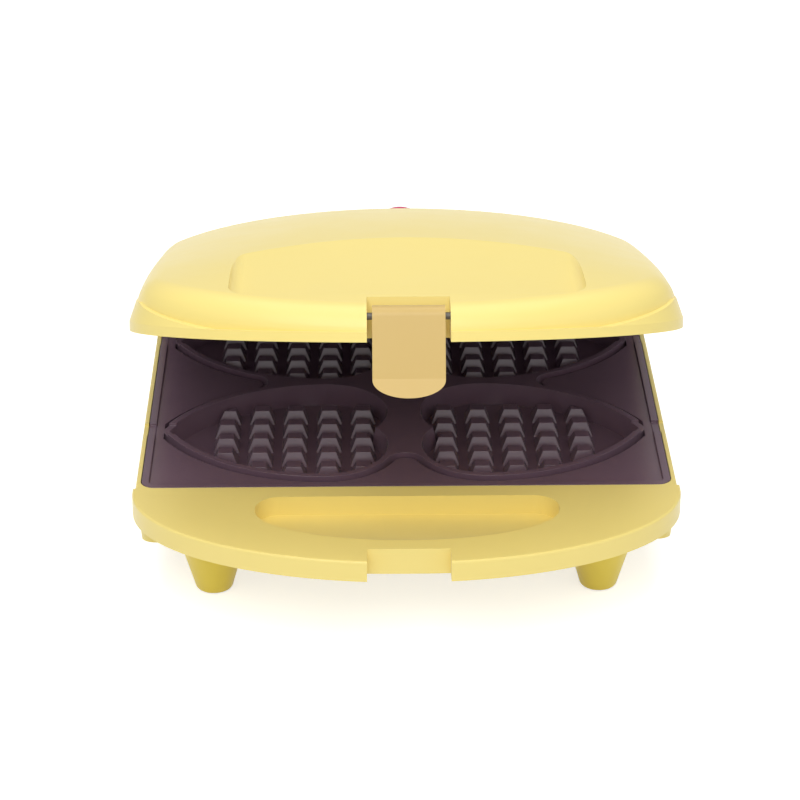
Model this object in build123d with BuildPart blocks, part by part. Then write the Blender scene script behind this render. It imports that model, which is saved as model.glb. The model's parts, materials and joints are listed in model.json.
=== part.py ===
from build123d import *
import os
from math import asin, atan2, cos, degrees, radians, sin, sqrt, tan

os.makedirs("parts", exist_ok=True)

# Stance, and the plane where base and lid meet
parting_height = 50.0
closing_gap = 0.3
lid_open_angle = 18.85
latch_swing_angle = 8.0
wall = 2.5
fit_gap = 0.4
seat_gap = 0.3
overrun = 1.0
half_turn = 180.0

# Cast plates
plate_width = 233.0
plate_depth = 213.0
plate_corner = 6.0
plate_flange = 3.5
flange_overhang = 4.0
plate_slab = 6.5
plate_rim = 3.2
land_drop = 1.4
gutter_drop = 4.2
cavity_drop = 10.0
cavity_lean = 1.6
casting_wall = 3.0

# Heart cavities, measured from the middle of the plate and the line of each row
lobe_radius = 28.5
lobe_offset = 17.0
lobe_reach = 36.0
lobe_arc_angle = 150.0
heart_tip_margin = 9.3
heart_row_pitch = 97.5
ridge_width = 2.8
gutter_width = 2.6
gutter_end_margin = 7.0
gutter_corner = 5.0
gutter_peak_radius = 8.4
stick_slot_width = 11.0
stick_slot_drop = 1.2

# Studs of the waffle grid
stud_height = 6.0
stud_length = 11.6
stud_depth = 10.6
stud_draft = 23.0
stud_pitch_across = 15.6
stud_pitch_deep = 14.2
first_stud_reach = 18.8
stud_columns = 5
stud_rows = 5
stud_margin = 3.2

# Base housing
body_width = 238.0
body_drop = 30.0
body_lean = 3.0
body_corner = 10.0
lip_width = 240.0
lip_reach = 69.0
lip_bulge = 65.5
lip_thickness = 9.5
lip_root = 12.0
underside_slope = 12.0
edge_round = 1.0
lip_shelf = 45.0
base_edge_round = 4.0
base_dish_width = 132.0
base_dish_reach = 28.0
base_dish_strip = 12.0
base_dish_drop = 9.0
base_dish_setback = 9.5
base_dish_corner = 11.0
base_notch_width = 35.4
base_notch_reach = 12.0

# Feet
foot_spacing_across = 171.0
foot_spacing_deep = 190.0
foot_top_radius = 13.5
foot_bottom_radius = 8.0
foot_round = 2.0
pad_radius = 5.0
pad_thickness = 1.6
pad_rise = 0.6

# Hinge
hinge_setback = 8.0
knuckle_radius = 4.8
hinge_clearance = 0.4
hinge_spacing = 140.0
knuckle_width = 8.0
ear_width = 6.0
ear_drop = 16.0
pin_radius = 2.0
pin_fit = 0.05
pin_head_radius = 3.2
pin_head = 1.2

# Lid housing
brim_width = 237.0
brim_reach = 68.5
brim_bulge = 60.0
brim_edge = 4.2
brim_slope_rise = 8.5
brim_slope_inset = 3.0
brim_slope_setback = 18.0
brim_slope_climb = 15.0
brim_corner = 9.0
dome_width = 232.0
dome_reach = 68.0
dome_bulge = 62.0
dome_lean = 1.5
dome_corner = 24.0
dome_round = 12.0
crown_height = 41.7
crown_setback = 87.0
crown_span = 256.0
crown_fall = 34.0
crown_fall_shares = (0.05, 0.25, 0.58, 0.87, 0.99, 0.98, 0.88)
crown_radius_deep = 711.0
lid_dish_width = 150.0
lid_dish_reach = 88.0
lid_dish_drop = 6.5
lid_dish_corner = 14.0
lid_dish_round = 5.0
lid_dish_radius = 745.0
lid_dish_setback = 20.0
lid_notch_width = 34.4
lid_notch_reach = 17.5

# Latch
latch_width = 30.0
latch_pivot_reach = 60.5
latch_pivot_height = 10.0
latch_barrel_radius = 4.5
latch_thickness = 3.0
latch_end_rise = 7.5
latch_tab = 8.0
latch_tab_flare = 2.5
hook_reach = 2.7
hook_height = 2.6
latch_pin_radius = 1.5

# Heating elements
element_radius = 3.3
element_side_inset = 42.5
element_end_inset = 24.5
element_bend = 18.0
element_opening = 42.0
cold_pin_radius = 1.3
cold_pin_length = 6.0
clip_thickness = 0.8
clip_width = 12.0
clip_wing = 6.0

# Reflectors and plate screws
reflector_side_inset = 20.5
reflector_end_inset = 17.5
reflector_corner = 38.0
reflector_thickness = 0.6
reflector_rise = 4.0
reflector_drop = 21.6
boss_radius = 4.0
side_boss_inset = 26.5
pillar_radius = 5.0
screw_radius = 1.6
screw_clearance = 0.15
screw_head_radius = 3.4
screw_head = 1.6
screw_bite = 7.0
screw_recess = 1.8

# Electrical pieces
block_width = 18.0
block_depth = 9.0
block_height = 12.0
block_setback = 18.5
block_slot = 3.0
thermostat_radius = 8.0
thermostat_height = 11.0
thermostat_flange_radius = 9.5
thermostat_flange = 1.2
fuse_radius = 2.0
fuse_length = 14.0
fuse_setback = 12.0
lead_radius = 1.0
lead_spacing = 12.0
gland_bore_radius = 3.4
gland_radius = 5.5
gland_flange_radius = 8.0
gland_flange = 2.2
gland_drop = 17.0
clamp_width = 24.0
clamp_depth = 4.6
clamp_height = 5.0
clamp_screw_spacing = 17.0
clamp_screw_radius = 1.2
clamp_screw_head_radius = 2.2
clamp_screw_head = 1.3
clamp_post_radius = 2.2

# Indicator in the rear of the lid
lens_radius = 5.4
lens_flange_radius = 6.6
lens_flange = 1.2
lens_rise = 1.0
lens_setback = 35.0
lamp_radius = 2.6
lamp_length = 6.0
holder_wall = 1.4

# Places worked out from the sizes above
overall_depth = lip_reach + plate_depth + hinge_setback + knuckle_radius
front_y = -overall_depth / 2
plate_front_y = front_y + lip_reach
plate_rear_y = plate_front_y + plate_depth
plate_centre_y = (plate_front_y + plate_rear_y) / 2
hinge_y = plate_rear_y + hinge_setback
rear_wall_y = hinge_y - knuckle_radius - hinge_clearance
floor_z = parting_height - body_drop
lid_z = parting_height + closing_gap
hinge_z = parting_height + closing_gap / 2
crown_y = hinge_y - crown_setback
crown_z = lid_z + crown_height
ridge_y = plate_front_y - dome_reach + lid_dish_setback
base_notch_wall_y = front_y + base_notch_reach
lid_notch_wall_y = plate_front_y - brim_reach + lid_notch_reach
void_width = plate_width - 2 * flange_overhang + 2 * fit_gap
void_depth = plate_depth - 2 * flange_overhang + 2 * fit_gap
heart_tip_reach = plate_width / 2 - heart_tip_margin
lobe_half = lobe_offset + lobe_radius
heart_side_radius = ((heart_tip_reach - lobe_reach) ** 2 + lobe_half**2) / (2 * lobe_half)
gutter_stop = plate_width / 2 - gutter_end_margin
element_width = plate_width - 2 * element_side_inset
element_depth = plate_depth - 2 * element_end_inset
reflector_width = plate_width - 2 * reflector_side_inset
reflector_depth = plate_depth - 2 * reflector_end_inset
side_boss_reach = plate_width / 2 - side_boss_inset
rows = [plate_centre_y + side * heart_row_pitch / 2 for side in (-1, 1)]
lower_rim = Plane((0, plate_centre_y, parting_height))
upper_rim = Plane((0, plate_centre_y, lid_z), x_dir=(-1, 0, 0), z_dir=(0, 0, -1))
hinge_axis = Axis((0, hinge_y, hinge_z), (-1, 0, 0))
pivot_y = plate_front_y - latch_pivot_reach
pivot_z = lid_z + latch_pivot_height
latch_axis = Axis((0, pivot_y, pivot_z), (-1, 0, 0))
underside_fall = tan(radians(underside_slope))


def crown_at(y, inset=0.0):
    """Height of the lid's crown on its middle line."""
    radius = crown_radius_deep - inset
    return crown_z - crown_radius_deep + sqrt(radius**2 - (y - crown_y) ** 2)


def underside_at(y):
    """Height of the lip's sloping underside."""
    return parting_height - lip_thickness - (y - front_y) * underside_fall


def upright_block(width, depth, corner, centre_y, bottom, top):
    """A block with round corners in plan, between two heights."""
    with BuildPart() as block:
        with BuildSketch(Plane.XY.offset(bottom)):
            with Locations((0, centre_y)):
                RectangleRounded(width, depth, corner)
        extrude(amount=top - bottom)
    return block.part


def nose_outline(width, nose_y, bulge, back_y, corner, inset):
    """A plan outline: half an ellipse in front, straight sides, round rear corners."""
    half = width / 2 - inset
    with BuildSketch() as outline:
        with BuildLine():
            nose = EllipticalCenterArc((0, nose_y + bulge), half, bulge - inset, start_angle=half_turn, arc_size=half_turn)
            Polyline(nose @ 1, (half, back_y - inset), (-half, back_y - inset), nose @ 0)
        make_face()
        if corner > inset:
            fillet(outline.vertices().sort_by(Axis.Y)[-2:], corner - inset)
    return outline.sketch


def cylinder_between(start, end, radius):
    """A plain rod from one point to another."""
    run = Vector(*end) - Vector(*start)
    with BuildPart() as rod:
        with BuildSketch(Plane(origin=start, z_dir=run)):
            Circle(radius)
        extrude(amount=run.length)
    return rod.part


# Heart cavities and their studs, drawn once about a row's line with the rim at zero height

def heart_face(level, grow):
    """One heart, its lobes towards the middle of the plate, grown or drawn in evenly."""
    lobe = lobe_radius + grow
    side = heart_side_radius + grow
    side_y = lobe_half - heart_side_radius
    cusp = (lobe_reach - sqrt(lobe**2 - lobe_offset**2), 0)
    tip = (lobe_reach + sqrt(side**2 - side_y**2), 0)
    lean = radians(lobe_arc_angle)
    turn = (radians(90) + asin(-side_y / side)) / 2
    with BuildSketch(Plane.XY.offset(level)) as heart:
        with BuildLine():
            for up in (1, -1):
                shoulder = (lobe_reach, up * (lobe_offset + lobe))
                lobe_middle = (lobe_reach + lobe * cos(lean), up * (lobe_offset + lobe * sin(lean)))
                side_middle = (lobe_reach + side * cos(turn), up * (side_y + side * sin(turn)))
                ThreePointArc(cusp, lobe_middle, shoulder)
                ThreePointArc(shoulder, side_middle, tip)
        make_face()
    return heart.sketch


with BuildPart() as heart_cavity:
    add(heart_face(0, 0))
    add(heart_face(-cavity_drop, -cavity_lean))
    loft(ruled=True)

with BuildPart() as heart_pocket:
    add(heart_face(-cavity_drop - casting_wall, casting_wall - cavity_lean))
    extrude(amount=cavity_drop + casting_wall - gutter_drop)

with BuildPart() as stud_bounds:
    add(heart_face(-cavity_drop, -stud_margin))
    extrude(amount=stud_height)

with BuildPart() as heart_studs:
    with BuildSketch(Plane.XY.offset(-cavity_drop)):
        for column in range(stud_columns):
            for row in range(stud_rows):
                across = first_stud_reach + column * stud_pitch_across
                deep = (row - (stud_rows - 1) / 2) * stud_pitch_deep
                with Locations((across, deep)):
                    Rectangle(stud_length, stud_depth)
    extrude(amount=stud_height, taper=stud_draft)
    add(stud_bounds.part, mode=Mode.INTERSECT)

heart_places = [
    Location((0, side * heart_row_pitch / 2, 0), (0, 0, turn)) for side in (-1, 1) for turn in (0, half_turn)
]

gutter_lobe = lobe_radius + ridge_width + gutter_width
peak_span = lobe_radius + ridge_width + gutter_peak_radius
peak_drop = sqrt(peak_span**2 - lobe_reach**2)
foot_share = gutter_lobe / peak_span

with BuildSketch() as gutter_plan:
    for place in heart_places:
        add(place * heart_face(0, ridge_width + gutter_width))
    for side in (-1, 1):
        lobe_y = side * (heart_row_pitch / 2 + lobe_offset)
        foot_x = lobe_reach * (1 - foot_share)
        foot_y = lobe_y + side * peak_drop * foot_share
        with BuildLine():
            Polyline((lobe_reach, lobe_y), (-lobe_reach, lobe_y), (-foot_x, foot_y), (foot_x, foot_y), close=True)
        make_face()
        with Locations((0, lobe_y + side * peak_drop)):
            Circle(gutter_peak_radius - gutter_width, mode=Mode.SUBTRACT)
    for ring in gutter_plan.face().inner_wires():
        add(Face(ring))
    fillet([v for v in gutter_plan.vertices() if abs(v.Y) < edge_round], gutter_corner)

with BuildSketch() as plateau_plan:
    add(gutter_plan.sketch)
    offset(amount=-gutter_width, mode=Mode.REPLACE)


# Plates

boss_spots = [(0, side * heart_row_pitch / 2) for side in (-1, 1)]
boss_spots += [(side * side_boss_reach, 0) for side in (-1, 1)]


def waffle_plate(rim, boss_length):
    """A cast plate, drawn on the plane of its rim, which faces the other plate."""

    def level(drop):
        return rim.offset(-drop)

    with BuildPart() as plate:
        with BuildSketch(level(plate_flange)):
            RectangleRounded(plate_width, plate_depth, plate_corner)
        extrude(amount=plate_flange)
        with BuildSketch(level(plate_slab)):
            inner_width = plate_width - 2 * flange_overhang
            inner_depth = plate_depth - 2 * flange_overhang
            RectangleRounded(inner_width, inner_depth, plate_corner)
        extrude(amount=plate_slab - land_drop)
        for place in heart_places:
            add(heart_pocket.part.moved(rim.location * place))
        with BuildSketch(level(land_drop)):
            land_width = plate_width - 2 * plate_rim
            land_depth = plate_depth - 2 * plate_rim
            RectangleRounded(land_width, land_depth, plate_corner - plate_rim)
        extrude(amount=land_drop + overrun, mode=Mode.SUBTRACT)
        with BuildSketch(level(gutter_drop)):
            add(gutter_plan.sketch)
            Rectangle(2 * gutter_stop, plate_depth, mode=Mode.INTERSECT)
        extrude(amount=gutter_drop, mode=Mode.SUBTRACT)
        with BuildSketch(level(gutter_drop)):
            add(plateau_plan.sketch)
            Rectangle(2 * gutter_stop, plate_depth, mode=Mode.INTERSECT)
        extrude(amount=gutter_drop)
        for place in heart_places:
            add(heart_cavity.part.moved(rim.location * place), mode=Mode.SUBTRACT)
            add(heart_studs.part.moved(rim.location * place))
        with BuildSketch(level(stick_slot_drop)):
            with Locations((0, -heart_row_pitch / 2), (0, heart_row_pitch / 2)):
                Rectangle(plate_width + overrun, stick_slot_width)
                Rectangle(2 * (lobe_reach + lobe_radius), stick_slot_width, mode=Mode.SUBTRACT)
        extrude(amount=stick_slot_drop + overrun, mode=Mode.SUBTRACT)
        with BuildSketch(level(boss_length)):
            with Locations(*boss_spots):
                Circle(boss_radius)
        extrude(amount=boss_length - gutter_drop)
    return plate


with BuildPart() as lower_plate:
    add(waffle_plate(lower_rim, reflector_drop))
    with BuildSketch(lower_rim.offset(-reflector_drop)):
        with Locations(*boss_spots):
            Circle(screw_radius + pin_fit)
    extrude(amount=screw_bite + seat_gap, mode=Mode.SUBTRACT)

with BuildPart() as upper_plate:
    add(waffle_plate(upper_rim, reflector_drop))
    with BuildSketch(upper_rim.offset(-reflector_drop)):
        with Locations(*boss_spots):
            Circle(screw_radius + screw_clearance)
    extrude(amount=reflector_drop, mode=Mode.SUBTRACT)
    with BuildSketch(upper_rim.offset(-land_drop - screw_head)):
        with Locations(*boss_spots):
            Circle(screw_head_radius + screw_clearance)
    extrude(amount=screw_head + land_drop, mode=Mode.SUBTRACT)


# Base housing

def under_lip(lift):
    """Everything under the slope that runs from the lip down to the floor, raised by lift."""
    end_y = front_y + (body_drop - lip_thickness + lift) / underside_fall
    low_z = floor_z - overrun
    start_y = front_y - overrun
    with BuildPart() as below:
        with BuildSketch(Plane.YZ):
            with BuildLine():
                start = (start_y, underside_at(start_y) + lift)
                Polyline(start, (end_y, floor_z), (end_y, low_z), (start_y, low_z), close=True)
            make_face()
        extrude(amount=lip_width, both=True)
    return below.part


def base_block(inset, top_z, bottom_z):
    """Body and lip as one block, the body leaning in and the lip thickening towards the body."""
    body_depth = rear_wall_y - plate_front_y + lip_root
    body_middle = (rear_wall_y + plate_front_y - lip_root) / 2
    levels = ((top_z, inset), (bottom_z, inset + body_lean))
    lip_low_z = parting_height - lip_thickness + inset
    lip_levels = ((lip_low_z, inset), (lip_low_z - lip_shelf * underside_fall, inset + lip_shelf))
    with BuildPart() as body:
        for level, drawn_in in levels:
            with BuildSketch(Plane.XY.offset(level)):
                with Locations((0, body_middle)):
                    width = body_width - 2 * drawn_in
                    depth = body_depth - 2 * drawn_in
                    RectangleRounded(width, depth, body_corner - drawn_in)
        loft(ruled=True)
        fillet(body.faces().sort_by(Axis.Z)[-1].edges(), edge_round)
        fillet(body.faces().sort_by(Axis.Z)[0].edges(), base_edge_round - inset)
        add(under_lip(inset), mode=Mode.SUBTRACT)
    with BuildPart() as lip:
        with BuildSketch(Plane.XY.offset(lip_low_z)):
            add(nose_outline(lip_width, front_y, lip_bulge, plate_front_y, 0, inset))
        extrude(amount=top_z - lip_low_z)
        fillet(lip.faces().sort_by(Axis.Z)[-1].edges(), edge_round)
        for level, drawn_in in lip_levels:
            with BuildSketch(Plane.XY.offset(level)):
                back_y = plate_front_y + drawn_in
                add(nose_outline(lip_width, front_y, lip_bulge, back_y, 0, drawn_in))
        loft(ruled=True)
        add(body.part)
    return lip.part


def base_notch(grow):
    """The latch notch in the middle of the lip, through its whole thickness."""
    depth = base_notch_reach + overrun + grow
    middle = (front_y - overrun + base_notch_wall_y + grow) / 2
    with BuildPart() as notch:
        with BuildSketch(Plane.XY.offset(floor_z)):
            with Locations((0, middle)):
                Rectangle(base_notch_width + 2 * grow, depth)
        extrude(amount=body_drop + overrun)
    return notch.part


def base_dish(grow):
    """The finger dish in the lip, deepest along its straight rear edge."""
    rear_y = plate_front_y - base_dish_setback + grow
    bend_y = rear_y - base_dish_strip - grow
    half = base_dish_width / 2 + grow
    reach = base_dish_reach + grow
    low_z = parting_height - base_dish_drop - grow
    high_z = parting_height - grow
    ceiling_z = parting_height + overrun
    with BuildPart() as hollow:
        with BuildSketch() as plan:
            with BuildLine():
                rim = EllipticalCenterArc((0, bend_y), half, reach, start_angle=half_turn, arc_size=half_turn)
                Polyline(rim @ 1, (half, rear_y), (-half, rear_y), rim @ 0)
            make_face()
            fillet(plan.vertices().sort_by(Axis.Y)[-2:], base_dish_corner)
        extrude(amount=ceiling_z)
        with BuildSketch(Plane.YZ):
            with BuildLine():
                far_y = bend_y - reach - overrun
                middle = ((rear_y + far_y) / 2, low_z + (high_z - low_z) / 4)
                ThreePointArc((rear_y, low_z), middle, (far_y, high_z))
                Polyline((far_y, high_z), (far_y, ceiling_z), (rear_y, ceiling_z), (rear_y, low_z))
            make_face()
        extrude(amount=lip_width, both=True, mode=Mode.INTERSECT)
    return hollow.part


base_floor = floor_z + wall
ledge_z = parting_height - plate_flange
pillar_top = parting_height - reflector_drop - reflector_thickness
foot_places = [
    (across * foot_spacing_across / 2, plate_front_y + deep * foot_spacing_deep)
    for across in (-1, 1)
    for deep in (0, 1)
]
foot_rise = underside_at(plate_front_y - foot_top_radius) + wall
foot_flare = (foot_top_radius - foot_bottom_radius) / (floor_z - pad_rise)
hinge_places = [side * hinge_spacing / 2 for side in (-1, 1)]
ear_offset = (knuckle_width + ear_width) / 2 + hinge_clearance
works_rear_y = plate_centre_y + void_depth / 2
gland_z = parting_height - gland_drop
clamp_y = works_rear_y - seat_gap - clamp_depth / 2
clamp_seat_z = gland_z + clamp_screw_radius
clamp_posts = [(side * clamp_screw_spacing / 2, clamp_y) for side in (-1, 1)]
pillar_places = [(x, plate_centre_y + y) for x, y in boss_spots]


def hinge_tab(width, up):
    """One leaf of the hinge round its pin, with a web running up or down to the rear wall."""
    root_y = rear_wall_y - wall
    with BuildPart() as tab:
        with BuildSketch(Plane.YZ.offset(-width / 2)):
            with Locations((hinge_y, hinge_z)):
                Circle(knuckle_radius)
            with BuildLine():
                Polyline(
                    (hinge_y + knuckle_radius, hinge_z),
                    (root_y, hinge_z + up * ear_drop),
                    (root_y, hinge_z + up * closing_gap / 2),
                    (hinge_y, hinge_z + up * closing_gap / 2),
                    (hinge_y, hinge_z),
                    close=True,
                )
            make_face()
        extrude(amount=width)
    return tab.part


def stick_slots(bottom_z, top_z):
    """Shallow slots in a housing's side rims, in line with the hearts' tips."""
    with BuildPart() as slots:
        with BuildSketch(Plane.XY.offset(bottom_z)):
            with Locations(*[(0, row) for row in rows]):
                Rectangle(body_width + overrun, stick_slot_width)
        extrude(amount=top_z - bottom_z)
    return slots.part


hinge_bore = cylinder_between(
    (-hinge_spacing, hinge_y, hinge_z), (hinge_spacing, hinge_y, hinge_z), pin_radius + pin_fit
)

with BuildPart() as lip_void:
    add(base_block(wall, parting_height - wall, floor_z + wall))
    split(bisect_by=Plane.XZ.offset(wall - plate_front_y), keep=Keep.TOP)
    add(base_notch(wall), mode=Mode.SUBTRACT)
    add(base_dish(wall), mode=Mode.SUBTRACT)

with BuildPart() as works_void:
    add(upright_block(void_width, void_depth, plate_corner, plate_centre_y, base_floor, parting_height))
    add(under_lip(wall), mode=Mode.SUBTRACT)

with BuildPart() as base_housing:
    add(base_block(0, parting_height, floor_z))
    with Locations(*[(x, y, pad_rise) for x, y in foot_places]):
        Cone(
            foot_bottom_radius,
            foot_bottom_radius + foot_flare * (foot_rise - pad_rise),
            foot_rise - pad_rise,
            align=(Align.CENTER, Align.CENTER, Align.MIN),
        )
    fillet(base_housing.edges().filter_by(GeomType.CIRCLE).group_by(Axis.Z)[0], foot_round)
    with BuildSketch(Plane.XY):
        with Locations(*foot_places):
            Circle(pad_radius + pin_fit)
    extrude(amount=pad_thickness, mode=Mode.SUBTRACT)
    add(lip_void.part, mode=Mode.SUBTRACT)
    add(works_void.part, mode=Mode.SUBTRACT)
    add(base_notch(0), mode=Mode.SUBTRACT)
    add(base_dish(0), mode=Mode.SUBTRACT)
    add(
        upright_block(
            plate_width + 2 * fit_gap,
            plate_depth + 2 * fit_gap,
            plate_corner + fit_gap,
            plate_centre_y,
            ledge_z,
            parting_height + overrun,
        ),
        mode=Mode.SUBTRACT,
    )
    add(stick_slots(parting_height - stick_slot_drop, parting_height + overrun), mode=Mode.SUBTRACT)
    with Locations(*[(middle + side * ear_offset, 0, 0) for middle in hinge_places for side in (-1, 1)]):
        add(hinge_tab(ear_width, -1))
    add(hinge_bore, mode=Mode.SUBTRACT)
    with BuildSketch(Plane.XZ.offset(-works_rear_y)):
        with Locations((0, gland_z)):
            Circle(gland_flange_radius + fit_gap)
    extrude(amount=works_rear_y - rear_wall_y)
    with BuildSketch(Plane.XZ.offset(-works_rear_y + overrun)):
        with Locations((0, gland_z)):
            Circle(gland_radius + pin_fit)
    extrude(amount=works_rear_y - rear_wall_y - 2 * overrun, mode=Mode.SUBTRACT)
    with BuildSketch(Plane.XY.offset(floor_z)):
        with Locations(*pillar_places):
            Circle(pillar_radius)
    extrude(amount=pillar_top - floor_z)
    with BuildSketch(Plane.XY.offset(floor_z)):
        with Locations(*pillar_places):
            Circle(screw_radius + screw_clearance)
    extrude(amount=body_drop, mode=Mode.SUBTRACT)
    with BuildSketch(Plane.XY.offset(floor_z)):
        with Locations(*pillar_places):
            Circle(screw_head_radius + screw_clearance)
    extrude(amount=screw_recess, mode=Mode.SUBTRACT)
    with BuildSketch(Plane.XY.offset(floor_z)):
        with Locations(*clamp_posts):
            Circle(clamp_post_radius)
    extrude(amount=clamp_seat_z - floor_z)
    with BuildSketch(Plane.XY.offset(clamp_seat_z)):
        with Locations(*clamp_posts):
            Circle(clamp_screw_radius + pin_fit)
    extrude(amount=-clamp_height - seat_gap, mode=Mode.SUBTRACT)


# Lid housing, drawn shut

def crown_body(inset):
    """Everything under the crown: arches across the lid, flatter towards the nose, joined smoothly."""
    first_y = front_y - overrun
    pitch = (hinge_y - first_y) / (len(crown_fall_shares) - 1)
    half_span = crown_span / 2 - inset
    low_z = floor_z - overrun
    with BuildPart() as body:
        for station, share in enumerate(crown_fall_shares):
            y = first_y + station * pitch
            fall = crown_fall * share
            with BuildSketch(Plane.XZ.offset(-y)):
                with BuildLine():
                    middle = (0, crown_at(y, inset) - fall)
                    arch = EllipticalCenterArc(middle, half_span, fall, start_angle=0, arc_size=half_turn)
                    Polyline(arch @ 1, (-half_span, low_z), (half_span, low_z), arch @ 0)
                make_face()
        loft()
    return body.part


def dome_block(inset):
    """The domed block of the lid, its top edge rounded, cut off where it shuts."""
    levels = ((floor_z, 0), (crown_z + overrun, dome_lean))
    with BuildPart() as dome:
        for level, lean in levels:
            with BuildSketch(Plane.XY.offset(level)):
                add(
                    nose_outline(
                        dome_width,
                        plate_front_y - dome_reach,
                        dome_bulge,
                        rear_wall_y,
                        dome_corner,
                        inset + lean,
                    )
                )
        loft(ruled=True)
        add(crown_body(inset), mode=Mode.INTERSECT)
        fillet(dome.faces().sort_by(Axis.Z)[-1].edges(), dome_round - inset)
        split(bisect_by=Plane.XY.offset(lid_z - inset), keep=Keep.TOP)
    return dome.part


def lid_notch(grow):
    """The latch notch in the middle of the lid's nose."""
    depth = lid_notch_reach + overrun + grow
    middle = lid_notch_wall_y + grow - depth / 2
    with BuildPart() as notch:
        with BuildSketch(Plane.XY.offset(lid_z - overrun)):
            with Locations((0, middle)):
                Rectangle(lid_notch_width + 2 * grow, depth)
        extrude(amount=crown_height)
    return notch.part


def lid_dish(grow):
    """The finger dish behind the ridge: straight in front, its floor sweeping up into the crown."""
    far_y = ridge_y + lid_dish_reach
    ceiling_z = 2 * crown_z
    start = Vector(ridge_y, crown_at(ridge_y) - lid_dish_drop - grow)
    end = Vector(far_y, crown_at(far_y) - grow)
    chord = end - start
    rise = sqrt(lid_dish_radius**2 - (chord.length / 2) ** 2)
    centre = (start + end) / 2 + Vector(-chord.Y, chord.X).normalized() * rise
    first_turn = atan2(start.Y - centre.Y, start.X - centre.X) - (grow + overrun) / lid_dish_radius
    last_turn = atan2(end.Y - centre.Y, end.X - centre.X)
    with BuildPart() as hollow:
        with BuildSketch(Plane.YZ):
            with BuildLine():
                floor = CenterArc(
                    (centre.X, centre.Y),
                    lid_dish_radius,
                    degrees(first_turn),
                    degrees(last_turn - first_turn),
                )
                low = floor @ 0
                Polyline(floor @ 1, (far_y, ceiling_z), (low.X, ceiling_z), low)
            make_face()
        extrude(amount=lid_dish_width, both=True)
        with BuildSketch() as plan:
            with Locations((0, (ridge_y - grow + far_y) / 2)):
                Rectangle(lid_dish_width + 2 * grow, lid_dish_reach + grow)
            fillet(plan.vertices().group_by(Axis.Y)[0], lid_dish_corner + grow)
        extrude(amount=ceiling_z, mode=Mode.INTERSECT)
        base = hollow.faces().sort_by(Axis.Z)[0]
        fillet(base.edges().sort_by(Axis.Y)[:-1], lid_dish_round + grow)
    return hollow.part


brim = (brim_width, plate_front_y - brim_reach, brim_bulge, rear_wall_y, brim_corner)
lid_rim_top = lid_z + plate_flange
lens_y = hinge_y - lens_setback
lens_seat_z = crown_at(lens_y + lens_flange_radius, wall) - pin_fit
lid_pillar_bottom = lid_z + reflector_drop + reflector_thickness

nose_bulkhead_y = plate_front_y - wall

with BuildPart() as lid_works_void:
    add(dome_block(wall))
    add(
        upright_block(void_width, void_depth, plate_corner, plate_centre_y, lid_z, crown_z),
        mode=Mode.INTERSECT,
    )
    with BuildSketch(Plane.XY.offset(lid_pillar_bottom)):
        with Locations(*pillar_places):
            Circle(pillar_radius)
    extrude(amount=crown_height, mode=Mode.SUBTRACT)
    add(lid_dish(wall), mode=Mode.SUBTRACT)
    slab_room = lid_z + plate_slab + seat_gap
    add(upright_block(void_width, void_depth, plate_corner, plate_centre_y, lid_z, slab_room))

with BuildPart() as lid_nose_void:
    add(dome_block(wall))
    split(bisect_by=Plane.XZ.offset(-nose_bulkhead_y), keep=Keep.TOP)
    split(bisect_by=Plane.XY.offset(lid_z + wall), keep=Keep.TOP)
    add(lid_notch(wall), mode=Mode.SUBTRACT)
    add(lid_dish(wall), mode=Mode.SUBTRACT)

latch_pin_half = lid_notch_width / 2 + wall

with BuildPart() as brim_slope:
    with BuildSketch(Plane.XY.offset(lid_z + brim_edge)):
        add(nose_outline(*brim, 0))
    with BuildSketch(Plane.XY.offset(lid_z + brim_edge + brim_slope_rise)):
        add(nose_outline(*brim, brim_slope_inset))
    loft(ruled=True)
    climb = radians(brim_slope_climb)
    climb_start = (0, plate_front_y - brim_reach + brim_slope_setback, lid_z + brim_edge)
    split(bisect_by=Plane(origin=climb_start, z_dir=(0, -sin(climb), cos(climb))), keep=Keep.BOTTOM)

with BuildPart() as lid_housing:
    add(dome_block(0))
    with BuildSketch(Plane.XY.offset(lid_z)):
        add(nose_outline(*brim, 0))
    extrude(amount=brim_edge)
    add(brim_slope.part)
    add(lid_works_void.part, mode=Mode.SUBTRACT)
    add(lid_nose_void.part, mode=Mode.SUBTRACT)
    add(lid_dish(0), mode=Mode.SUBTRACT)
    add(lid_notch(0), mode=Mode.SUBTRACT)
    add(
        upright_block(
            plate_width + 2 * fit_gap,
            plate_depth + 2 * fit_gap,
            plate_corner + fit_gap,
            plate_centre_y,
            lid_z - overrun,
            lid_rim_top,
        ),
        mode=Mode.SUBTRACT,
    )
    add(stick_slots(lid_z - overrun, lid_z + stick_slot_drop), mode=Mode.SUBTRACT)
    with Locations(*[(x, 0, 0) for x in hinge_places]):
        add(hinge_tab(knuckle_width, 1))
    add(hinge_bore, mode=Mode.SUBTRACT)
    add(
        cylinder_between(
            (-latch_pin_half, pivot_y, pivot_z), (latch_pin_half, pivot_y, pivot_z), latch_pin_radius + pin_fit
        ),
        mode=Mode.SUBTRACT,
    )
    with BuildSketch(Plane.XY.offset(lens_seat_z)):
        with Locations((0, lens_y)):
            Circle(lens_radius + pin_fit)
    extrude(amount=crown_height, mode=Mode.SUBTRACT)
    with BuildSketch(Plane.XY.offset(lid_pillar_bottom)):
        with Locations(*pillar_places):
            Circle(screw_radius + pin_fit)
    extrude(amount=screw_bite + seat_gap, mode=Mode.SUBTRACT)


# Latch, drawn shut and hooked under the lip

latch_face_y = pivot_y - latch_barrel_radius
hook_tip_y = base_notch_wall_y + hook_reach
hook_top_z = underside_at(hook_tip_y) - seat_gap
hook_low_z = hook_top_z - hook_height
latch_end_z = hook_low_z - latch_tab
latch_pin_line = ((-latch_pin_half, pivot_y, pivot_z), (latch_pin_half, pivot_y, pivot_z))

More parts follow.
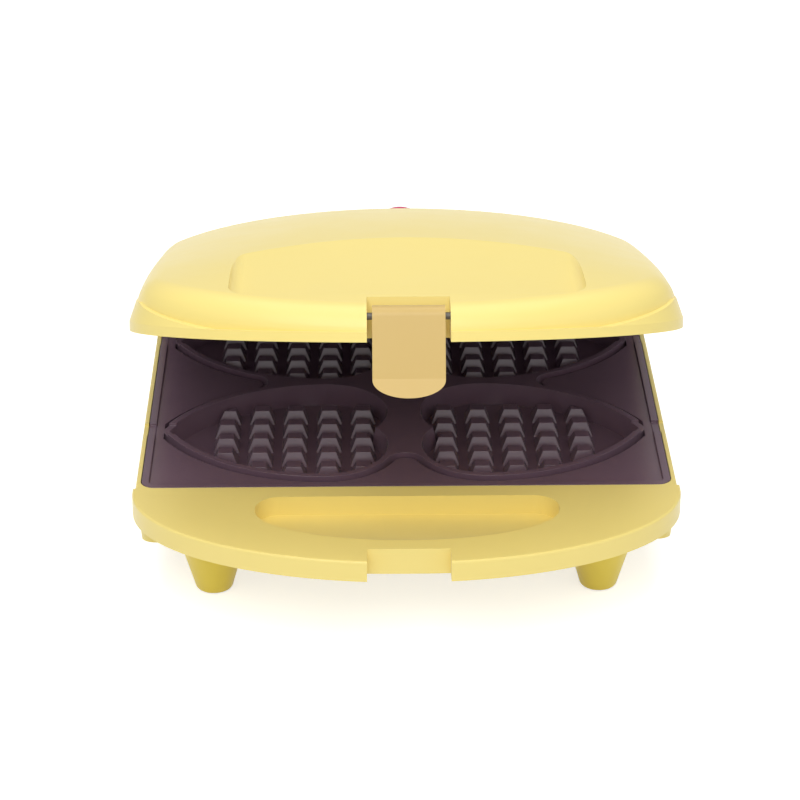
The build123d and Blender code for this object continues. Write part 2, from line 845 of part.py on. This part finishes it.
with BuildPart() as latch:
    with BuildSketch(Plane.YZ):
        with Locations((pivot_y, pivot_z)):
            Circle(latch_barrel_radius)
        with BuildLine():
            back_y = latch_face_y + latch_thickness
            Polyline(
                (latch_face_y, pivot_z),
                (latch_face_y, hook_low_z),
                (latch_face_y - latch_tab_flare, latch_end_z),
                (back_y - latch_tab_flare, latch_end_z),
                (back_y, hook_low_z - overrun),
                (hook_tip_y - hook_height / 2, hook_low_z),
                (hook_tip_y, hook_low_z + hook_height / 2),
                (hook_tip_y, hook_top_z),
                (back_y, hook_top_z),
                (back_y, pivot_z),
                close=True,
            )
        make_face()
    extrude(amount=latch_width / 2, both=True)
    with BuildSketch(Plane.XZ.offset(-pivot_y)):
        with BuildLine():
            shoulder_z = latch_end_z + latch_end_rise
            top_z = pivot_z + latch_barrel_radius + overrun
            end = EllipticalCenterArc(
                (0, shoulder_z), latch_width / 2, latch_end_rise, start_angle=half_turn, arc_size=half_turn
            )
            Polyline(end @ 1, (latch_width / 2, top_z), (-latch_width / 2, top_z), end @ 0)
        make_face()
    extrude(amount=lip_reach, both=True, mode=Mode.INTERSECT)
    add(cylinder_between(*latch_pin_line, latch_pin_radius + pin_fit), mode=Mode.SUBTRACT)

with BuildPart() as latch_pin:
    add(cylinder_between(*latch_pin_line, latch_pin_radius))


# Hinge pins and foot pads

with BuildPart() as hinge_pins:
    reach = ear_offset + ear_width / 2
    for middle in hinge_places:
        outward = 1 if middle > 0 else -1
        inner = (middle - outward * reach, hinge_y, hinge_z)
        outer = (middle + outward * reach, hinge_y, hinge_z)
        head = (middle + outward * (reach + pin_head), hinge_y, hinge_z)
        add(cylinder_between(inner, outer, pin_radius))
        add(cylinder_between(outer, head, pin_head_radius))

with BuildPart() as foot_pads:
    with BuildSketch(Plane.XY):
        with Locations(*foot_places):
            Circle(pad_radius)
    extrude(amount=pad_thickness)


# Heating pieces, drawn behind a rim plane and used for both plates

def heating_element(rim):
    """A tubular element bent round under the hearts, with a cold pin at each end."""
    drop = cavity_drop + casting_wall + seat_gap + element_radius
    half_width = element_width / 2
    half_depth = element_depth / 2
    half_gap = element_opening / 2
    level = rim.offset(-drop)
    with BuildPart() as element:
        with BuildLine(level) as route:
            FilletPolyline(
                (half_gap, half_depth),
                (half_width, half_depth),
                (half_width, -half_depth),
                (-half_width, -half_depth),
                (-half_width, half_depth),
                (-half_gap, half_depth),
                radius=element_bend,
            )
        path = route.wire()
        with BuildSketch(Plane(origin=path @ 0, z_dir=path % 0)):
            Circle(element_radius)
        sweep()
        for side in (-1, 1):
            tip = level.from_local_coords((side * (half_gap - cold_pin_length), half_depth, 0))
            root = level.from_local_coords((side * half_gap, half_depth, 0))
            add(cylinder_between(tip, root, cold_pin_radius))
    return element


def element_clips(rim):
    """Sheet straps that hold the element's long sides to the plate."""
    drop = cavity_drop + casting_wall + seat_gap + element_radius
    inner = element_radius + fit_gap / 2
    outer = inner + clip_thickness
    low = -drop - inner
    top = -plate_slab
    with BuildPart() as strap:
        with BuildSketch(Plane.XZ):
            with BuildLine():
                Polyline(
                    (-outer - clip_wing, top),
                    (-inner, top),
                    (-inner, low),
                    (inner, low),
                    (inner, top),
                    (outer + clip_wing, top),
                    (outer + clip_wing, top - clip_thickness),
                    (outer, top - clip_thickness),
                    (outer, low - clip_thickness),
                    (-outer, low - clip_thickness),
                    (-outer, top - clip_thickness),
                    (-outer - clip_wing, top - clip_thickness),
                    close=True,
                )
            make_face()
        extrude(amount=clip_width / 2, both=True)
    with BuildPart() as clips:
        for side in (-1, 1):
            add(strap.part.moved(rim.location * Location((side * element_width / 2, 0, 0))))
    return clips


def reflector(rim):
    """A folded sheet tray behind the element."""
    with BuildPart() as tray:
        with BuildSketch(rim.offset(-reflector_drop - reflector_thickness)):
            RectangleRounded(reflector_width, reflector_depth, reflector_corner)
        extrude(amount=reflector_thickness + reflector_rise)
        with BuildSketch(rim.offset(-reflector_drop)):
            RectangleRounded(
                reflector_width - 2 * reflector_thickness,
                reflector_depth - 2 * reflector_thickness,
                reflector_corner - reflector_thickness,
            )
        extrude(amount=reflector_rise, mode=Mode.SUBTRACT)
        with BuildSketch(rim.offset(-reflector_drop - reflector_thickness)):
            with Locations(*boss_spots):
                Circle(screw_radius + screw_clearance)
        extrude(amount=reflector_thickness, mode=Mode.SUBTRACT)
    return tray


def screws(base, head_top, shank_top):
    """Four screws that stand on a plane, heads first."""
    with BuildPart() as group:
        with BuildSketch(base):
            with Locations(*boss_spots):
                Circle(screw_head_radius)
        extrude(amount=head_top)
        with BuildSketch(base):
            with Locations(*boss_spots):
                Circle(screw_radius)
        extrude(amount=shank_top)
    return group


lower_element = heating_element(lower_rim)
upper_element = heating_element(upper_rim)
lower_reflector = reflector(lower_rim)
upper_reflector = reflector(upper_rim)
lower_element_clips = element_clips(lower_rim)
upper_element_clips = element_clips(upper_rim)
screw_base_z = floor_z + screw_recess - screw_head
lower_plate_screws = screws(
    Plane((0, plate_centre_y, screw_base_z)),
    screw_head,
    parting_height - reflector_drop + screw_bite - screw_base_z,
)
upper_plate_screws = screws(
    Plane((0, plate_centre_y, lid_z + land_drop)),
    screw_head,
    reflector_drop + reflector_thickness + screw_bite - land_drop,
)


# Electrical pieces in the base

slab_z = parting_height - plate_slab - seat_gap
element_z = parting_height - cavity_drop - casting_wall - seat_gap - element_radius
element_rear_y = plate_centre_y + element_depth / 2
block_front_y = plate_rear_y - block_setback - block_depth
lead_x = lead_spacing / 2

with BuildPart() as terminal_block:
    with BuildSketch(Plane.XY.offset(slab_z)):
        with Locations((0, block_front_y + block_depth / 2)):
            Rectangle(block_width, block_depth)
    extrude(amount=-block_height)
    with BuildSketch(Plane.XY.offset(slab_z)):
        with Locations((0, block_front_y + block_depth / 2)):
            Rectangle(block_slot, block_depth)
    extrude(amount=-block_slot, mode=Mode.SUBTRACT)

with BuildPart() as thermostat:
    with BuildSketch(Plane.XY.offset(slab_z)):
        with Locations((0, plate_centre_y)):
            Circle(thermostat_flange_radius)
    extrude(amount=-thermostat_flange)
    with BuildSketch(Plane.XY.offset(slab_z)):
        with Locations((0, plate_centre_y)):
            Circle(thermostat_radius)
    extrude(amount=-thermostat_height)

fuse_rear_y = block_front_y - fuse_setback
fuse_front_y = fuse_rear_y - fuse_length
with BuildPart() as thermal_fuse:
    add(cylinder_between((lead_x, fuse_front_y, element_z), (lead_x, fuse_rear_y, element_z), fuse_radius))

switch_side_y = plate_centre_y + sqrt(thermostat_radius**2 - (lead_x - lead_radius) ** 2) + pin_fit
pin_tip_x = element_opening / 2 - cold_pin_length
with BuildPart() as base_leads:
    lead_runs = [
        ((lead_x, fuse_rear_y, element_z), (lead_x, block_front_y, element_z)),
        ((lead_x, switch_side_y, element_z), (lead_x, fuse_front_y, element_z)),
        ((-lead_x, switch_side_y, element_z), (-lead_x, block_front_y, element_z)),
        ((block_width / 2, element_rear_y, element_z), (pin_tip_x, element_rear_y, element_z)),
        ((-block_width / 2, element_rear_y, element_z), (-pin_tip_x, element_rear_y, element_z)),
    ]
    for start, end in lead_runs:
        add(cylinder_between(start, end, lead_radius))

with BuildPart() as cord_gland:
    inner = (0, works_rear_y, gland_z)
    outer = (0, rear_wall_y, gland_z)
    end = (0, rear_wall_y + gland_flange, gland_z)
    add(cylinder_between(inner, outer, gland_radius))
    add(cylinder_between(outer, end, gland_flange_radius))
    fillet(cord_gland.edges().sort_by(Axis.Y)[-1], gland_flange / 2)
    add(cylinder_between(inner, end, gland_bore_radius), mode=Mode.SUBTRACT)

with BuildPart() as cord_clamp:
    with BuildSketch(Plane.XY.offset(clamp_seat_z)):
        with Locations((0, clamp_y)):
            Rectangle(clamp_width, clamp_depth)
    extrude(amount=clamp_height)
    cord_start = (0, clamp_y - clamp_depth, gland_z)
    cord_end = (0, clamp_y + clamp_depth, gland_z)
    add(cylinder_between(cord_start, cord_end, gland_bore_radius), mode=Mode.SUBTRACT)
    with BuildSketch(Plane.XY.offset(clamp_seat_z)):
        with Locations(*clamp_posts):
            Circle(clamp_screw_radius + pin_fit)
    extrude(amount=clamp_height, mode=Mode.SUBTRACT)

with BuildPart() as cord_clamp_screws:
    with BuildSketch(Plane.XY.offset(clamp_seat_z - clamp_height)):
        with Locations(*clamp_posts):
            Circle(clamp_screw_radius)
    extrude(amount=2 * clamp_height)
    with BuildSketch(Plane.XY.offset(clamp_seat_z + clamp_height)):
        with Locations(*clamp_posts):
            Circle(clamp_screw_head_radius)
    extrude(amount=clamp_screw_head)


# Indicator in the lid

holder_top_z = lens_seat_z - lens_flange
holder_radius = lamp_radius + pin_fit + holder_wall

with BuildPart() as indicator_lens:
    with BuildSketch(Plane.YZ):
        with BuildLine():
            edge_z = crown_at(lens_y)
            cap_radius = (lens_radius**2 + lens_rise**2) / (2 * lens_rise)
            middle_y = lens_radius / 2
            middle_z = edge_z + lens_rise - cap_radius + sqrt(cap_radius**2 - middle_y**2)
            Polyline(
                (lens_y, holder_top_z),
                (lens_y + lens_flange_radius, holder_top_z),
                (lens_y + lens_flange_radius, lens_seat_z),
                (lens_y + lens_radius, lens_seat_z),
                (lens_y + lens_radius, edge_z),
            )
            ThreePointArc(
                (lens_y + lens_radius, edge_z), (lens_y + middle_y, middle_z), (lens_y, edge_z + lens_rise)
            )
            Line((lens_y, edge_z + lens_rise), (lens_y, holder_top_z))
        make_face()
    revolve(axis=Axis((0, lens_y, 0), (0, 0, 1)))

with BuildPart() as lamp_holder:
    with BuildSketch(Plane.XY.offset(holder_top_z)):
        with Locations((0, lens_y)):
            Circle(holder_radius)
    extrude(amount=-lamp_length - holder_wall)
    with BuildSketch(Plane.XY.offset(holder_top_z)):
        with Locations((0, lens_y)):
            Circle(lamp_radius + pin_fit)
    extrude(amount=-lamp_length, mode=Mode.SUBTRACT)

with BuildPart() as indicator_lamp:
    with BuildSketch(Plane.XY.offset(holder_top_z)):
        with Locations((0, lens_y)):
            Circle(lamp_radius)
    extrude(amount=-lamp_length)


# Each piece is written at rest: the base as drawn, the lid opened, the latch swung out as well

base_pieces = {
    "base_housing": base_housing,
    "lower_plate": lower_plate,
    "lower_element": lower_element,
    "lower_element_clips": lower_element_clips,
    "lower_reflector": lower_reflector,
    "lower_plate_screws": lower_plate_screws,
    "thermostat": thermostat,
    "thermal_fuse": thermal_fuse,
    "terminal_block": terminal_block,
    "base_leads": base_leads,
    "cord_gland": cord_gland,
    "cord_clamp": cord_clamp,
    "cord_clamp_screws": cord_clamp_screws,
    "hinge_pins": hinge_pins,
    "foot_pads": foot_pads,
}
lid_pieces = {
    "lid_housing": lid_housing,
    "upper_plate": upper_plate,
    "upper_element": upper_element,
    "upper_element_clips": upper_element_clips,
    "upper_reflector": upper_reflector,
    "upper_plate_screws": upper_plate_screws,
    "indicator_lens": indicator_lens,
    "indicator_lamp": indicator_lamp,
    "lamp_holder": lamp_holder,
    "latch_pin": latch_pin,
}

for name, piece in base_pieces.items():
    piece.part.label = name
    export_step(piece.part, f"parts/{name}.step")

for name, piece in lid_pieces.items():
    opened = piece.part.rotate(hinge_axis, lid_open_angle)
    opened.label = name
    export_step(opened, f"parts/{name}.step")

swung_latch = latch.part.rotate(latch_axis, latch_swing_angle).rotate(hinge_axis, lid_open_angle)
swung_latch.label = "latch"
export_step(swung_latch, "parts/latch.step")
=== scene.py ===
import json
import math

import bpy
from mathutils import Euler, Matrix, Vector

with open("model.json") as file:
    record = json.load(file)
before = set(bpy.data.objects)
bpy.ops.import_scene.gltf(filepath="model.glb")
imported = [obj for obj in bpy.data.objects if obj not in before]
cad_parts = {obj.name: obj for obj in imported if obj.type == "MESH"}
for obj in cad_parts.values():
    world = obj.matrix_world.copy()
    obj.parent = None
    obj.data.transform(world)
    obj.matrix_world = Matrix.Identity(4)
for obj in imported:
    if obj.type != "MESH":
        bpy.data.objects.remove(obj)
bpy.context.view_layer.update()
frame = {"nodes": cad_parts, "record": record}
scene = bpy.context.scene
MM = 0.001

# Colours of the moulded pieces, with a deeper yellow painted on the feet as painted shade, and the
# heights in metres where the feet's painted shade fades into the body
YELLOW = (0.900, 0.732, 0.235)
YELLOW_DEEP = (0.890, 0.722, 0.222)
FOOT_PAINTED_SHADE = (0.950, 0.745, 0.090)
FOOT_TOP = 0.020
BODY_LOW = 0.032
TAN = (0.610, 0.420, 0.128)
TAN_DEEP = (0.600, 0.410, 0.122)
COAT_DARK = (0.165, 0.100, 0.138)
COAT_DEEP = (0.149, 0.089, 0.124)

# The band of a noise value that covers its usual spread
NOISE_LOW = 0.3
NOISE_HIGH = 0.7

# Light, floor and camera
SKY_STRENGTH = 0.44
FLOOR_SIZE = 12.0
FLOOR_GREY = 0.72
FLOOR_GLOW = 0.66
LENS_MM = 129.15
SENSOR_MM = 36.0
CAMERA_PLACE_MM = (-20.0, -1193.2, 635.7)
CAMERA_TILT = 64.0
CAMERA_TURN = -0.88


# Node helpers

def new_material(name):
    """A node material with its shader ready, and helpers to add nodes to it."""
    material = bpy.data.materials.new(name)
    material.use_nodes = True
    tree = material.node_tree
    shader = tree.nodes["Principled BSDF"]
    return material, tree, shader


def object_point(tree):
    """The point on the surface in the object's own space, the same at every pose."""
    return tree.nodes.new("ShaderNodeTexCoord").outputs["Object"]


def noise(tree, scale, detail=4.0, roughness=0.55, stretch=None):
    """A noise value over the surface; scale counts features per metre."""
    node = tree.nodes.new("ShaderNodeTexNoise")
    node.inputs["Scale"].default_value = scale
    node.inputs["Detail"].default_value = detail
    node.inputs["Roughness"].default_value = roughness
    source = object_point(tree)
    if stretch:
        mapping = tree.nodes.new("ShaderNodeMapping")
        mapping.inputs["Scale"].default_value = stretch
        tree.links.new(source, mapping.inputs["Vector"])
        source = mapping.outputs["Vector"]
    tree.links.new(source, node.inputs["Vector"])
    return node.outputs["Fac"]


def remap(tree, value, low, high, out_low, out_high, held=False):
    """A value mapped from one range to another, and on past both ends."""
    node = tree.nodes.new("ShaderNodeMapRange")
    node.clamp = held
    node.inputs["From Min"].default_value = low
    node.inputs["From Max"].default_value = high
    node.inputs["To Min"].default_value = out_low
    node.inputs["To Max"].default_value = out_high
    tree.links.new(value, node.inputs["Value"])
    return node.outputs["Result"]


def spread(tree, value, out_low, out_high):
    """A noise value's usual spread mapped to a range."""
    return remap(tree, value, NOISE_LOW, NOISE_HIGH, out_low, out_high)


def blend_colours(tree, factor, first, second):
    """A colour between two, by a factor."""
    node = tree.nodes.new("ShaderNodeMix")
    node.data_type = "RGBA"
    node.clamp_factor = False
    node.inputs["A"].default_value = (*first, 1.0)
    node.inputs["B"].default_value = (*second, 1.0)
    tree.links.new(factor, node.inputs["Factor"])
    return node.outputs["Result"]


def add_bump(tree, shader, height, strength, distance, edge_radius=None):
    """Surface relief from a height, over edges eased by a small radius."""
    bump = tree.nodes.new("ShaderNodeBump")
    bump.inputs["Strength"].default_value = strength
    bump.inputs["Distance"].default_value = distance
    tree.links.new(height, bump.inputs["Height"])
    if edge_radius:
        ease = tree.nodes.new("ShaderNodeBevel")
        ease.samples = 4
        ease.inputs["Radius"].default_value = edge_radius
        tree.links.new(ease.outputs["Normal"], bump.inputs["Normal"])
    tree.links.new(bump.outputs["Normal"], shader.inputs["Normal"])


def moulded_plastic(name, colour, shade, rough_low, rough_high, painted_foot_shade=None):
    """Satin moulded plastic: faint flow tone and a fine orange-peel skin, with the feet painted a
    deeper yellow as painted shade if asked.
    """
    material, tree, shader = new_material(name)
    tone = spread(tree, noise(tree, 9.0, 3.0), 0.0, 1.0)
    skin = blend_colours(tree, tone, colour, shade)
    # Painted shade: below the body the feet blend to a deeper, more saturated yellow that stands in for
    # the yellow-bounced shade they sit in
    if painted_foot_shade:
        height = tree.nodes.new("ShaderNodeSeparateXYZ")
        tree.links.new(object_point(tree), height.inputs["Vector"])
        low = remap(tree, height.outputs["Z"], FOOT_TOP, BODY_LOW, 1.0, 0.0, True)
        painted_foot_shade_skin = blend_colours(tree, low, colour, painted_foot_shade)
        tree.links.new(skin, painted_foot_shade_skin.node.inputs["A"])
        skin = painted_foot_shade_skin
    tree.links.new(skin, shader.inputs["Base Color"])
    shader.inputs["Sheen Weight"].default_value = 0.10
    shader.inputs["Sheen Roughness"].default_value = 0.5
    shader.inputs["Coat Weight"].default_value = 0.12
    shader.inputs["Coat Roughness"].default_value = 0.22
    sheen = spread(tree, noise(tree, 60.0, 5.0), rough_low, rough_high)
    tree.links.new(sheen, shader.inputs["Roughness"])
    shader.inputs["IOR"].default_value = 1.49
    add_bump(tree, shader, noise(tree, 520.0, 2.0), 0.05, 0.0004)
    return material


def coated_metal(name, colour, shade):
    """Cast metal under a dark non-stick coat: soft grain, faint pebble and worn highlights."""
    material, tree, shader = new_material(name)
    tone = spread(tree, noise(tree, 26.0, 5.0), 0.0, 1.0)
    tree.links.new(blend_colours(tree, tone, colour, shade), shader.inputs["Base Color"])
    sheen = spread(tree, noise(tree, 140.0, 4.0), 0.20, 0.235)
    tree.links.new(sheen, shader.inputs["Roughness"])
    shader.inputs["IOR"].default_value = 1.6
    shader.inputs["Sheen Weight"].default_value = 0.05
    shader.inputs["Sheen Roughness"].default_value = 0.5
    add_bump(tree, shader, noise(tree, 1300.0, 3.0), 0.10, 0.0003, 0.0005)
    return material


def bare_metal(name, colour, rough_low, rough_high, grain, stretch=None):
    """Bare or plated metal with a drawn or ground grain."""
    material, tree, shader = new_material(name)
    shader.inputs["Base Color"].default_value = (*colour, 1.0)
    shader.inputs["Metallic"].default_value = 1.0
    sheen = spread(tree, noise(tree, grain, 4.0, 0.6, stretch), rough_low, rough_high)
    tree.links.new(sheen, shader.inputs["Roughness"])
    add_bump(tree, shader, noise(tree, grain * 2, 3.0, 0.6, stretch), 0.08, 0.0002)
    return material


def soft_rubber(name, colour, shade):
    """Matt rubber with a dusty tone."""
    material, tree, shader = new_material(name)
    tone = spread(tree, noise(tree, 120.0, 4.0), 0.0, 1.0)
    tree.links.new(blend_colours(tree, tone, colour, shade), shader.inputs["Base Color"])
    shader.inputs["Roughness"].default_value = 0.75
    add_bump(tree, shader, noise(tree, 900.0, 3.0), 0.15, 0.0002)
    return material


def clear_plastic(name, colour, rough, clear):
    """Tinted clear plastic with faint moulding waves."""
    material, tree, shader = new_material(name)
    shader.inputs["Base Color"].default_value = (*colour, 1.0)
    shader.inputs["Transmission Weight"].default_value = clear
    shader.inputs["IOR"].default_value = 1.49
    sheen = spread(tree, noise(tree, 300.0, 3.0), rough, rough + 0.08)
    tree.links.new(sheen, shader.inputs["Roughness"])
    add_bump(tree, shader, noise(tree, 500.0, 2.0), 0.05, 0.0002)
    return material


finishes = {
    # The housing's feet carry painted shade
    "housing": moulded_plastic("housing_plastic", YELLOW, YELLOW_DEEP, 0.38, 0.46, FOOT_PAINTED_SHADE),
    "latch": moulded_plastic("latch_plastic", TAN, TAN_DEEP, 0.36, 0.44),
    "plate": coated_metal("plate_coating", COAT_DARK, COAT_DEEP),
    "element": bare_metal("element_sheath", (0.30, 0.29, 0.28), 0.45, 0.65, 220.0),
    "sheet_steel": bare_metal("strap_steel", (0.62, 0.62, 0.61), 0.28, 0.45, 300.0, (1.0, 6.0, 1.0)),
    "reflector": bare_metal("reflector_sheet", (0.82, 0.82, 0.83), 0.18, 0.32, 160.0, (8.0, 1.0, 1.0)),
    "screw": bare_metal("screw_plating", (0.50, 0.49, 0.47), 0.25, 0.40, 900.0),
    # Painted shade: the pin colour is darkened well below steel so the latch's pivot reads as a thin
    # shaded line; the hinge pins share it
    "pin": bare_metal("ground_pin_painted_shade", (0.16, 0.15, 0.13), 0.45, 0.60, 600.0, (0.2, 4.0, 4.0)),
    "fuse": bare_metal("fuse_case", (0.75, 0.60, 0.32), 0.25, 0.40, 500.0),
    "terminal": moulded_plastic("pale_moulding", (0.80, 0.79, 0.74), (0.74, 0.73, 0.68), 0.45, 0.60),
    "lead": bare_metal("bare_lead", (0.80, 0.45, 0.25), 0.30, 0.45, 800.0),
    "gland": soft_rubber("gland_rubber", (0.80, 0.64, 0.27), (0.74, 0.59, 0.24)),
    "pad": soft_rubber("pad_rubber", (0.060, 0.058, 0.055), (0.085, 0.082, 0.078)),
    "lens": clear_plastic("lens_plastic", (0.85, 0.03, 0.15), 0.08, 0.25),
    "lamp": clear_plastic("lamp_glass", (0.95, 0.62, 0.42), 0.03, 0.75),
}


# CAD nodes, each in its slot's finish

slots = {part["node"]: part["material_slot"] for part in frame["record"]["subparts"]}
for name, node in frame["nodes"].items():
    node.data.materials.clear()
    node.data.materials.append(finishes[slots[name]])


# Floor, light and camera

def plain_floor():
    """A wide pale floor that stays white to the camera and keeps the part's shadow."""
    bpy.ops.mesh.primitive_plane_add(size=FLOOR_SIZE)
    floor = bpy.context.object
    floor.name = "floor"
    material, tree, shader = new_material("floor_white")
    tree.nodes.remove(shader)
    diffuse = tree.nodes.new("ShaderNodeBsdfDiffuse")
    diffuse.inputs["Color"].default_value = (FLOOR_GREY, FLOOR_GREY, FLOOR_GREY, 1.0)
    glow = tree.nodes.new("ShaderNodeEmission")
    glow.inputs["Color"].default_value = (1.0, 1.0, 1.0, 1.0)
    path = tree.nodes.new("ShaderNodeLightPath")
    seen = path.outputs["Is Camera Ray"]
    for other in ("Is Glossy Ray", "Is Transmission Ray"):
        either = tree.nodes.new("ShaderNodeMath")
        either.operation = "MAXIMUM"
        tree.links.new(seen, either.inputs[0])
        tree.links.new(path.outputs[other], either.inputs[1])
        seen = either.outputs["Value"]
    share = tree.nodes.new("ShaderNodeMath")
    share.operation = "MULTIPLY"
    share.inputs[1].default_value = FLOOR_GLOW
    tree.links.new(seen, share.inputs[0])
    tree.links.new(share.outputs["Value"], glow.inputs["Strength"])
    both = tree.nodes.new("ShaderNodeAddShader")
    tree.links.new(diffuse.outputs["BSDF"], both.inputs[0])
    tree.links.new(glow.outputs["Emission"], both.inputs[1])
    tree.links.new(both.outputs["Shader"], tree.nodes["Material Output"].inputs["Surface"])
    floor.data.materials.append(material)


def soft_lamp(name, place, target, size, watts):
    """A square soft lamp that faces a point."""
    light = bpy.data.lights.new(name, "AREA")
    light.shape = "SQUARE"
    light.size = size
    light.energy = watts
    lamp = bpy.data.objects.new(name, light)
    scene.collection.objects.link(lamp)
    lamp.location = place
    lamp.rotation_euler = (Vector(target) - Vector(place)).to_track_quat("-Z", "Y").to_euler()


plain_floor()

world = bpy.data.worlds.new("studio")
scene.world = world
world.use_nodes = True
sky = world.node_tree.nodes["Background"]
sky.inputs["Color"].default_value = (1.0, 1.0, 1.0, 1.0)
sky.inputs["Strength"].default_value = SKY_STRENGTH

middle = (0.0, 0.0, 0.08)
soft_lamp("key", (-0.30, -1.22, 1.62), middle, 1.4, 17.5)
soft_lamp("front", (0.15, -1.60, 1.15), middle, 1.3, 5.0)
soft_lamp("fill", (1.2, -1.0, 0.8), middle, 1.2, 1.5)
soft_lamp("top", (0.0, 0.35, 1.7), middle, 1.4, 11.0)

camera_data = bpy.data.cameras.new("camera")
camera_data.lens = LENS_MM
camera_data.sensor_width = SENSOR_MM
camera_data.sensor_fit = "AUTO"
camera_data.clip_start = 0.05
camera_data.clip_end = 20.0
camera = bpy.data.objects.new("camera", camera_data)
scene.collection.objects.link(camera)
camera.location = Vector(CAMERA_PLACE_MM) * MM
camera.rotation_euler = Euler((math.radians(CAMERA_TILT), 0.0, math.radians(CAMERA_TURN)), "XYZ")
scene.camera = camera

scene.view_settings.view_transform = "Standard"
